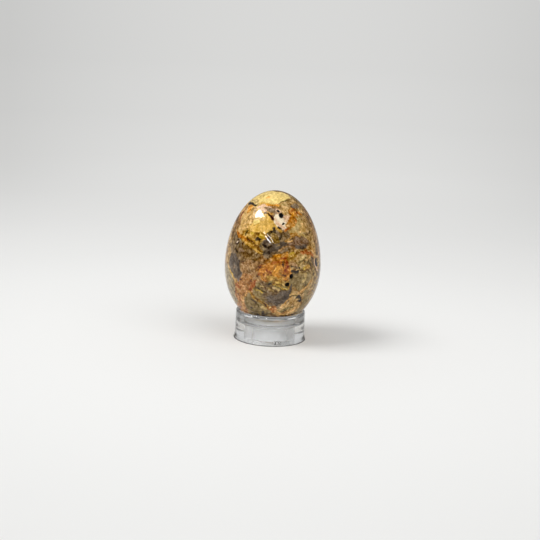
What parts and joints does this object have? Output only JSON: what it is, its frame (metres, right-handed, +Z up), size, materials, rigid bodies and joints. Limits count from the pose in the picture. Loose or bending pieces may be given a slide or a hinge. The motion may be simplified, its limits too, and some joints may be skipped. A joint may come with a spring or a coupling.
{
  "type": "decorative egg on stand",
  "caption": "Polished stone egg with natural pits, standing wide end down in the conical seat of a clear moulded ring.",
  "frame": {"origin": "centre of the ring's foot, on the surface it stands on", "axes": "+Z up through the egg, -Y towards the front, where most of the natural pits are, +X to the right seen from the front"},
  "size_m": [0.0427, 0.0426, 0.0665],
  "materials": {
    "banded_stone": "polished",
    "clear_plastic": "gloss"
  },
  "bodies": {
    "stand": {"ring_stand": "clear_plastic"},
    "egg": {"agate_egg": "banded_stone"}
  },
  "joints": [
    {"name": "egg_lift", "type": "slide", "parent": "stand", "child": "egg", "axis": [0, 0, 1], "range_m": [0, 0.03]}
  ]
}
